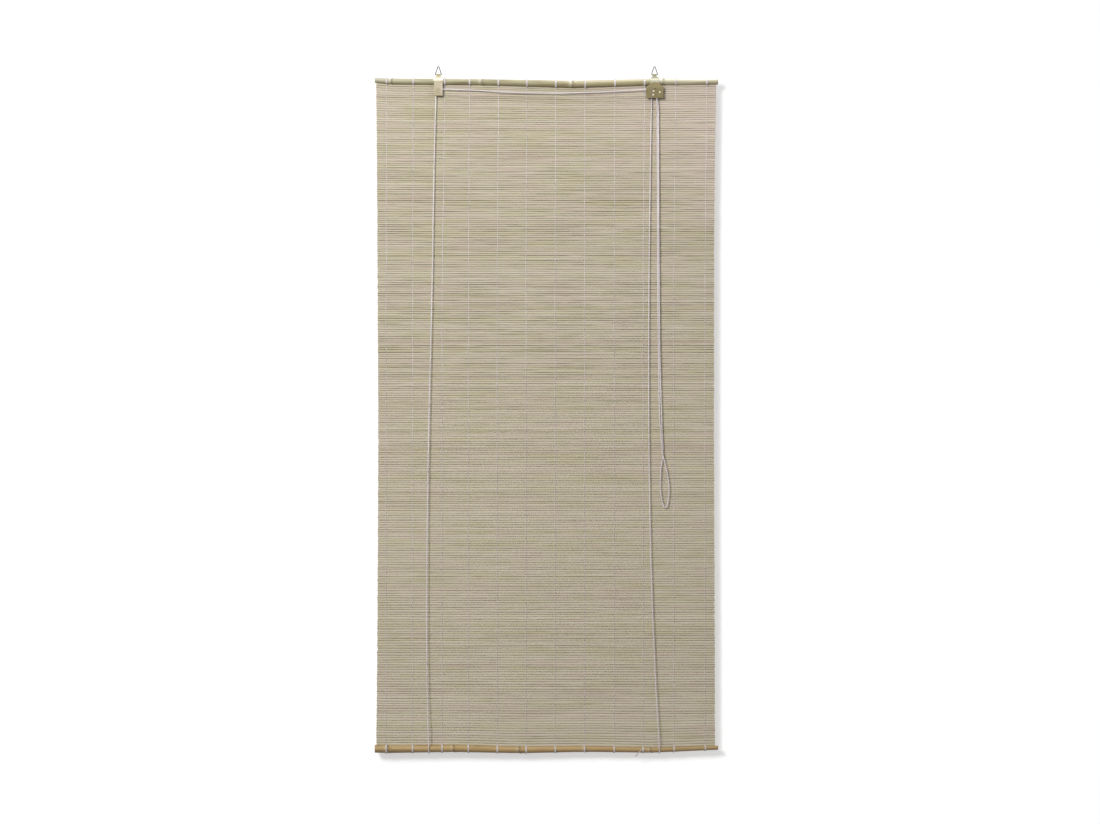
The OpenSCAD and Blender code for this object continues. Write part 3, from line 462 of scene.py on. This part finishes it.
def overhand_knot(centre):
    """A pulled-up knot: a trefoil, its three lobes turning twice round a ring, squashed along the cord."""
    ring_r, lobe_r, half_height, yarn_r = 1.15, 0.62, 0.95, 0.85
    t = np.linspace(0, 2 * np.pi, 72, endpoint=False)
    out = ring_r + lobe_r * np.cos(3 * t)
    path = np.stack([out * np.cos(2 * t), out * np.sin(2 * t), half_height * np.sin(3 * t)], 1)
    return tube(np.asarray(centre) + path, yarn_r, CORD_SIDES, closed=True)


knots = [piece("left_end_knot", overhand_knot(LEFT_KNOT), cord_cotton),
         piece("right_end_knot", overhand_knot(RIGHT_KNOT), cord_cotton)]

# The canes: axis height and radius at the cut ends and the joints, in millimetres
TOP_X = [-400, -359, -148, 63, 274, 400]
TOP_Z = [-31, -33.8, -35.3, -40.6, -34.5, -34.2]
TOP_R = [6, 6.9, 7.4, 8.5, 7.8, 6.7]
BOTTOM_X = [-400, -367, -214, -61, 92, 245, 400]
BOTTOM_Z = [-1589.5, -1590.4, -1588.9, -1592.4, -1590, -1592.9, -1586.8]
BOTTOM_R = list(np.interp(BOTTOM_X, [-400, 400], [9.3, 5.2]))
# What each joint adds to the radius, the brown and the bloom, as height, offset along the cane and width
JOINT_RIDGE = ((0.85, 0, 1.3), (-0.30, -3.4, 1.2), (0.35, 3.0, 2.6))
JOINT_BROWN = ((0.95, -2.6, 1.1), (0.45, 0, 1.5))
JOINT_BLOOM = ((0.55, -7.5, 3.2),)
CUT_BROWN = 0.35
HOLLOW_R = 2.3
HOLLOW_DEEP = 24


def bells(away, shape):
    """Bell curves round all joints, added up: each is its height times e to the power of minus the square of
    the distance from its offset in widths."""
    return sum(high * np.exp(-((away - at) / wide) ** 2) for high, at, wide in shape).sum(1)


def cane(table_x, table_z, table_r, seed):
    """A bamboo pole as one closed skin: the axis and the radius run straight from joint to joint, eased
    over 12 mm at each bend. A joint adds a ridge with a groove beside it, and the section is a slightly
    uneven circle. The skin turns in over each cut end and runs down the hollow."""
    inner = np.array(table_x[1:-1], float)
    x = np.unique(np.concatenate(
        [np.linspace(table_x[0], table_x[-1], 321)] + [j + np.linspace(-9, 9, 31) for j in inner]))
    x = x[(x >= table_x[0]) & (x <= table_x[-1])]
    ease = np.linspace(-12, 12, 9)
    reach = np.clip(x[:, None] + ease, table_x[0], table_x[-1])
    z = np.interp(reach, table_x, table_z).mean(1)
    r = np.interp(reach, table_x, table_r).mean(1)
    away = x[:, None] - inner[None]
    r = r + bells(away, JOINT_RIDGE)
    joint = np.clip(bells(away, JOINT_BROWN), 0, 1)
    bloom = np.clip(bells(away, JOINT_BLOOM), 0, 1)
    caps = []
    for end_x, end_z, end_r, way in ((x[0], z[0], r[0], 1), (x[-1], z[-1], r[-1], -1)):
        # Depth and radius from the floor of the hollow, up its wall and over the cut face to the skin
        cut = np.array([
            [HOLLOW_DEEP, 0.01], [HOLLOW_DEEP, HOLLOW_R], [HOLLOW_DEEP / 2, HOLLOW_R], [0.5, HOLLOW_R],
            [0.1, HOLLOW_R + 0.5], [0, end_r * 0.72], [0.1, end_r - 0.5], [0.35, end_r - 0.12]])
        caps.append(np.column_stack([end_x + way * cut[:, 0], np.full(len(cut), end_z), cut[:, 1]]))
    skin = np.column_stack([x[1:-1], z[1:-1], r[1:-1]])
    rows = np.vstack([caps[0], skin, caps[1][::-1]])
    pad = np.zeros(len(caps[0]))
    joint = np.concatenate([pad + CUT_BROWN, joint[1:-1], pad + CUT_BROWN])
    bloom = np.concatenate([pad, bloom[1:-1], pad])
    sides = 32
    angle = np.arange(sides) * 2 * np.pi / sides
    uneven = 1 + 0.012 * np.sin(2 * angle[None] + rows[:, :1] / 190 + seed) + 0.008 * np.sin(
        3 * angle[None] + rows[:, :1] / 90 + 2 * seed)
    radius = rows[:, 2:] * uneven
    points = np.stack([np.broadcast_to(rows[:, :1], radius.shape), radius * np.sin(angle)[None],
                       rows[:, 1:2] + radius * np.cos(angle)[None]], -1)
    quads, corner = grid(len(rows), sides)
    # under runs from 0 on top of the cane to 1 underneath, for the skin's painted shade
    values = {"joint": np.repeat(joint, sides), "bloom": np.repeat(bloom, sides),
              "under": np.tile((1 - np.cos(angle)) / 2, len(rows))}
    return (points.reshape(-1, 3), quads, corner), values


for name, table, finish, slot, seed in (
        ("top_pole", (TOP_X, TOP_Z, TOP_R), top_skin, "top_cane", 0.4),
        ("bottom_pole", (BOTTOM_X, BOTTOM_Z, BOTTOM_R), bottom_skin, "bottom_cane", 1.7)):
    surface, values = cane(*table, seed)
    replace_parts(piece(name + "_cane", surface, finish, values=values), name)

# The mat: slats between edges that follow the poles at the top and bottom
SLATS = 288
PITCH_TOP = 5.0
PITCH_BOTTOM = 5.7
MAT_TOP = -44.0
MAT_FOOT = -1580.5
# Gaps from the mat to the poles, negative as it overlaps them a little, and the fall-off of its bend
TOP_GAP = -0.35
BOTTOM_GAP = -0.3
STRAIGHTEN = 55
MAT_LEFT = -396.5
MAT_RIGHT = 391.5
# How far each side bows in from those, at shares of the way down
SIDE_AT = [0, 0.12, 0.26, 0.56, 0.86, 1]
LEFT_BOW = [-0.5, 1.1, 2.5, 4.4, 2.1, -0.3]
RIGHT_BOW = [4.0, 1.2, -0.8, -1.2, 0.8, 1.2]
# Lengths and swings of the waves of a slat's edge, and lengths of those of a groove's width
EDGE_WAVES = (760.0, 330.0, 170.0, 85.0)
EDGE_SWINGS = (0.28, 0.18, 0.12, 0.07)
GAP_WAVES = (430.0, 190.0, 75.0)
# Spread of the edges' steps, of the slats' ends and of the lean of their faces, and limits of size
EDGE_STEP = 0.28
END_STEP = 0.35
SLAT_LEAN = 0.10
WIDEST_GAP = 1.1
LEAST_HALF = 0.6
edge_phase = chance.uniform(0, 2 * np.pi, (SLATS + 1, len(EDGE_WAVES)))
edge_swing = chance.normal(0, 1, (SLATS + 1, len(EDGE_WAVES))) * np.array(EDGE_SWINGS)
edge_step = chance.normal(0, EDGE_STEP, SLATS + 1)
gap_phase = chance.uniform(0, 2 * np.pi, (SLATS + 1, len(GAP_WAVES)))
gap_mean = np.clip(chance.normal(0.55, 0.18, SLATS + 1), 0.2, WIDEST_GAP)
# Half of a groove that is wide enough to look dark
WIDE_GROOVE = 0.4
# How dark the grooves are painted, with shade and dust, from the top of the mat to its foot
DUST_AND_SHADE_DOWN = ([0, 0.1, 0.2, 0.42, 0.55, 1], [0.55, 0.65, 0.8, 0.8, 0.55, 0.6])


def slat_edges(x):
    """Heights of all slat edges at places x: spaced with a pitch that grows downwards, bent towards the
    poles near the top and the bottom by an amount that dies away from them, each with its own slow waves."""
    i = np.arange(SLATS + 1)[:, None]
    share = (PITCH_TOP * i + (PITCH_BOTTOM - PITCH_TOP) * i**2 / (2 * SLATS)) / (
        (PITCH_TOP + PITCH_BOTTOM) / 2 * SLATS)
    upper = np.interp(x, TOP_X, TOP_Z) - np.interp(x, TOP_X, TOP_R) - TOP_GAP
    lower = np.interp(x, BOTTOM_X, BOTTOM_Z) + np.interp(x, BOTTOM_X, BOTTOM_R) + BOTTOM_GAP
    level = MAT_TOP + (MAT_FOOT - MAT_TOP) * share
    waves = sum(edge_swing[:, k:k + 1] * np.sin(2 * np.pi * x[None] / wave + edge_phase[:, k:k + 1])
                for k, wave in enumerate(EDGE_WAVES)) + edge_step[:, None]
    loose = np.minimum(1, np.minimum(i, SLATS - i) / 3)
    return (level + (upper - MAT_TOP)[None] * np.exp((level - MAT_TOP) / STRAIGHTEN)
            + (lower - MAT_FOOT)[None] * np.exp((MAT_FOOT - level) / STRAIGHTEN) + loose * waves)


def slat_gaps(x):
    """Half the groove at each slat edge: a width of its own that swells and closes along the edge."""
    swell = sum(np.sin(2 * np.pi * x[None] / wave + gap_phase[:, k:k + 1])
                for k, wave in enumerate(GAP_WAVES))
    return np.clip(gap_mean[:, None] * (1 + 0.35 * swell), 0.03, WIDEST_GAP) / 2


def slat_mat():
    """All slats: each is an eight-sided bar along X, its front crowned and narrower than its back by half a
    groove above and below, its back edges against its neighbours', its ends stepped at the mat's bowed sides.
    The groove value, how much painted shade and dust, is 0 on both faces and the cut ends, and grows to 1
    inside a wide groove."""
    share = np.concatenate([[0, 0.0005], np.linspace(0.01, 0.99, 28), [0.9995, 1]])
    x = MAT_LEFT + (MAT_RIGHT - MAT_LEFT) * share
    edges, gaps = slat_edges(x), slat_gaps(x)
    top = edges[:-1] - gaps[:-1]
    foot = edges[1:] + gaps[1:]
    mid, half = (top + foot) / 2, np.maximum((top - foot) / 2, LEAST_HALF)
    down = np.linspace(0, 1, SLATS)[:, None]
    left = MAT_LEFT + np.interp(down, SIDE_AT, LEFT_BOW) + chance.normal(0, END_STEP, (SLATS, 1))
    right = MAT_RIGHT + np.interp(down, SIDE_AT, RIGHT_BOW) + chance.normal(0, END_STEP, (SLATS, 1))
    place = left + (right - left) * share[None]
    lean = chance.normal(0, SLAT_LEAN, (SLATS, 1))
    ring_y = np.array([-0.55, -0.9, -0.9, -0.55, 0.55, 0.75, 0.75, 0.55])
    ring_z = np.array([1.0, 0.45, -0.45, -1.0, -0.94, -0.92, 0.92, 0.94])
    y = ring_y[None, None] + lean[..., None] * ring_z[None, None] + 0 * place[..., None]
    z = mid[..., None] + half[..., None] * ring_z[None, None]
    z[..., 4:6] = edges[1:, :, None]
    z[..., 6:] = edges[:-1, :, None]
    groove = np.zeros(z.shape)
    inside = (share > 0) & (share < 1)
    # The painted groove shade and dust are strongest in the upper middle
    dust_and_shade = np.interp(np.linspace(0, 1, SLATS + 1), *DUST_AND_SHADE_DOWN)[:, None]
    groove_darkness = np.clip(gaps / WIDE_GROOVE, 0.5, 1) * inside * dust_and_shade
    groove[..., [0, 7]] = groove_darkness[:-1, :, None]
    groove[..., [3, 4]] = groove_darkness[1:, :, None]
    points = np.stack([np.broadcast_to(place[..., None], z.shape), y, z], -1)
    quads, corner = grid(len(share), len(ring_y))
    count = len(share) * len(ring_y)
    step = np.arange(SLATS)[:, None, None] * count
    surface = (points.reshape(-1, 3), (quads[None] + step).reshape(-1, 4), np.tile(corner, (SLATS, 1, 1)))
    values = {"tone": np.repeat(np.clip(chance.normal(0.5, 0.22, SLATS), 0, 1), count),
              "warm": np.repeat(np.clip(chance.normal(0.5, 0.25, SLATS), 0, 1), count),
              "groove": groove.ravel()}
    return surface, values


surface, values = slat_mat()
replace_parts(piece("woven_slats", surface, slat_finish, values=values), "slat_mat")

# The threads, each round the place of its straight one in the source
THREAD_R = 0.7
THREAD_SIDES = 6
# How far a strand's axis stands out from the middle of a slat, a quarter of the strand sunk into its face
THREAD_OUT = 0.9 + THREAD_R * 0.5
# Height over which a thread drifts sideways, how much it wavers, and over what length
DRIFT_DOWN = 500
WAVER = 0.35
WAVER_LONG = 37
LASH_TURNS = 4
LASH_WIDE = 3.4
LASH_CLEAR = 0.1
# One thread ends in a loose tail: its radius, its step, and its points from the middle of the lower lashing
TAIL_THREAD = 10
TAIL_R = 0.8
TAIL_STEP = 1.5
TAIL = np.array([(-1, -6.7, 3), (-5, -7.4, 0), (-10, -6.7, -4), (-14, -5.2, -9), (-17, -4.2, -14)])
# How far each thread leans from its middle, at its upper lashing and below the top third
LEAN_TOP = [-1.5, -1.0, 1.2, 2.5, 4.5, 4.5, 4.5, 4.5, 4.5, 3.0, 4.0, 4.0]
LEAN_LOW = [-2.0, -2.5, -4.5, 0.0, 2.0, 2.5, 3.0, 3.0, 3.0, 0.0, 0.5, 0.5]


def lashing(x, axis_z, cane_r):
    """Turns of thread round a pole: a helix that lies just clear of the cane, LASH_TURNS in LASH_WIDE."""
    t = np.linspace(0, 1, 24 * LASH_TURNS + 1)
    angle = 2 * np.pi * LASH_TURNS * t
    r = cane_r + LASH_CLEAR + THREAD_R
    return np.stack([x + LASH_WIDE * (t - 0.5), r * np.sin(angle), axis_z - r * np.cos(angle)], 1)


def woven_thread(number, x_top, x_low, tail):
    """One warp: two strands that cross between every two slats, one passing in front of a slat while the
    other passes behind it, drifting sideways from x_top to x_low over the top third, with a lashing on each
    pole and, if tail, a loose end at the foot."""
    parts = []
    edge_at = slat_edges(np.array([x_low]))[:, 0]
    mids = (edge_at[:-1] + edge_at[1:]) / 2
    quarter = (edge_at[:-1] - edge_at[1:]) / 4
    z = np.stack([edge_at[:-1], mids + quarter, mids, mids - quarter], 1).ravel()
    fall = np.clip((z[0] - z) / DRIFT_DOWN, 0, 1)
    x = x_top + (x_low - x_top) * (fall * fall * (3 - 2 * fall)) + WAVER * np.sin(z / WAVER_LONG + number)
    bow = np.tile([0.2, 0.95, 1.0, 0.95], SLATS) * THREAD_OUT
    side = np.repeat(np.where(np.arange(SLATS) % 2 == 0, 1.0, -1.0), 4)
    for strand in (1, -1):
        parts.append(tube(np.stack([x, strand * side * bow, z], 1), THREAD_R, THREAD_SIDES))
    for table, place in (((TOP_X, TOP_Z, TOP_R), x_top), ((BOTTOM_X, BOTTOM_Z, BOTTOM_R), x[-1])):
        parts.append(tube(lashing(place, np.interp(place, table[0], table[1]),
                                  np.interp(place, table[0], table[2])), THREAD_R, THREAD_SIDES))
    if tail:
        end = parts[-1][0].mean(0)
        path = smooth_path(np.array([end[0], 0, end[2]]) + TAIL, TAIL_STEP)
        parts.append(tube(path, TAIL_R, THREAD_SIDES))
    made = piece(f"woven_thread_{number:02d}", joined(parts), thread_cotton)
    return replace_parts(made, f"warp_thread_{number:02d}")


for number in range(1, len(LEAN_TOP) + 1):
    low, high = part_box(f"warp_thread_{number:02d}")
    middle = (low.x + high.x) / 2 / MM
    woven_thread(number, middle + LEAN_TOP[number - 1], middle + LEAN_LOW[number - 1], number == TAIL_THREAD)

# Stage, in metres: a white wall close behind, a pale floor well below the blind, an even sky, a key lamp from
# the upper left, a broad one beside it, a small one close above the top pole and a broad one behind
WALL_Y = 0.021
FLOOR_Z = -2.3
STAGE_HALF = 6
STAGE_FRONT = -7
STAGE_TOP = 4
SKY_LIGHT = 0.30
SKY_SEEN = 1.0
LAMP_AIM = np.array([0.0, 0.0, -0.7])
SEEN_BY = ("Is Camera Ray", "Is Glossy Ray", "Is Transmission Ray")


def stage_plane(name, corners, material):
    """A flat quad through four corners."""
    mesh = bpy.data.meshes.new(name)
    mesh.from_pydata(corners, [], [(0, 1, 2, 3)])
    mesh.materials.append(material)
    made = bpy.data.objects.new(name, mesh)
    scene.collection.objects.link(made)


def any_of(tree, answers):
    """The greatest of several answers, so 1 where any of them is 1."""
    best = answers[0]
    for answer in answers[1:]:
        best = node(tree, "ShaderNodeMath", {0: best, 1: answer}, operation="MAXIMUM").outputs[0]
    return best


def backdrop_paint(name, grey, slope, glow):
    """White paint that keeps shadows: a diffuse share, plus a glow that only the camera, reflections and
    refractions see. From behind it is clear, and so it is to the light that falls on the blind, which then
    comes evenly from all sides. grey is its reflectance at the origin and slope how that changes per metre,
    duller towards the lamps, so that the paint shows one even white."""
    material, tree, shader, place = new_material(name)
    tree.nodes.remove(shader)
    output = next(n for n in tree.nodes if n.type == "OUTPUT_MATERIAL")
    fade = node(tree, "ShaderNodeVectorMath", {0: place, 1: slope}, operation="DOT_PRODUCT")
    fade = node(tree, "ShaderNodeMath", {0: fade.outputs["Value"], 1: grey}, operation="ADD", use_clamp=True)
    paint = node(tree, "ShaderNodeBsdfDiffuse", {"Color": fade.outputs[0]})
    ray = node(tree, "ShaderNodeLightPath").outputs
    seen = any_of(tree, [ray[kind] for kind in SEEN_BY])
    strength = node(tree, "ShaderNodeMath", {0: seen, 1: glow}, operation="MULTIPLY")
    light = node(tree, "ShaderNodeEmission", {"Strength": strength.outputs[0]})
    both = node(tree, "ShaderNodeAddShader", {0: paint.outputs[0], 1: light.outputs[0]})
    side = node(tree, "ShaderNodeNewGeometry")
    open_to = any_of(tree, [ray["Is Diffuse Ray"], ray["Is Shadow Ray"], side.outputs["Backfacing"]])
    clear = node(tree, "ShaderNodeBsdfTransparent")
    mix = node(tree, "ShaderNodeMixShader", {0: open_to, 1: both.outputs[0], 2: clear.outputs[0]})
    tree.links.new(mix.outputs[0], output.inputs["Surface"])
    return material


wall_foot = [(-STAGE_HALF, WALL_Y, FLOOR_Z), (STAGE_HALF, WALL_Y, FLOOR_Z)]
stage_plane("wall", wall_foot + [(STAGE_HALF, WALL_Y, STAGE_TOP), (-STAGE_HALF, WALL_Y, STAGE_TOP)],
            backdrop_paint("white_wall_paint", 0.671, (0.106, 0, -0.135), 0.405))
floor_front = [(-STAGE_HALF, STAGE_FRONT, FLOOR_Z), (STAGE_HALF, STAGE_FRONT, FLOOR_Z)]
stage_plane("floor", floor_front + wall_foot[::-1],
            backdrop_paint("pale_floor_paint", 0.456, (0, 0, 0), 0.65))

world = bpy.data.worlds.new("sky")
world.use_nodes = True
tree = world.node_tree
tree.nodes.clear()
ray = node(tree, "ShaderNodeLightPath").outputs
seen = any_of(tree, [ray[kind] for kind in SEEN_BY])
plain = node(tree, "ShaderNodeBackground", {"Color": (1, 1, 1, 1), "Strength": SKY_LIGHT})
white = node(tree, "ShaderNodeBackground", {"Color": (1, 1, 1, 1), "Strength": SKY_SEEN})
sky = node(tree, "ShaderNodeMixShader", {0: seen, 1: plain.outputs[0], 2: white.outputs[0]})
node(tree, "ShaderNodeOutputWorld", {"Surface": sky.outputs[0]})
scene.world = world

for name, watts, size, spot in (
        ("key", 147, 1.4, (-2.9, -4.0, 1.7)),
        ("overhead", 67, 2.2, (-1.9, -3.4, 1.8)),
        ("top", 8, 0.5, (0.35, -0.12, 0.9)),
        ("back", 45, 2.0, (1.2, 3.2, 0.9))):
    light = bpy.data.lights.new(name, "AREA")
    light.energy = watts
    light.size = size
    lamp = bpy.data.objects.new(name, light)
    lamp.location = spot
    aim = LAMP_AIM - np.array(spot)
    tilt = math.acos(-aim[2] / np.linalg.norm(aim))
    lamp.rotation_euler = (tilt, 0, math.atan2(aim[1], aim[0]) - math.pi / 2)
    scene.collection.objects.link(lamp)
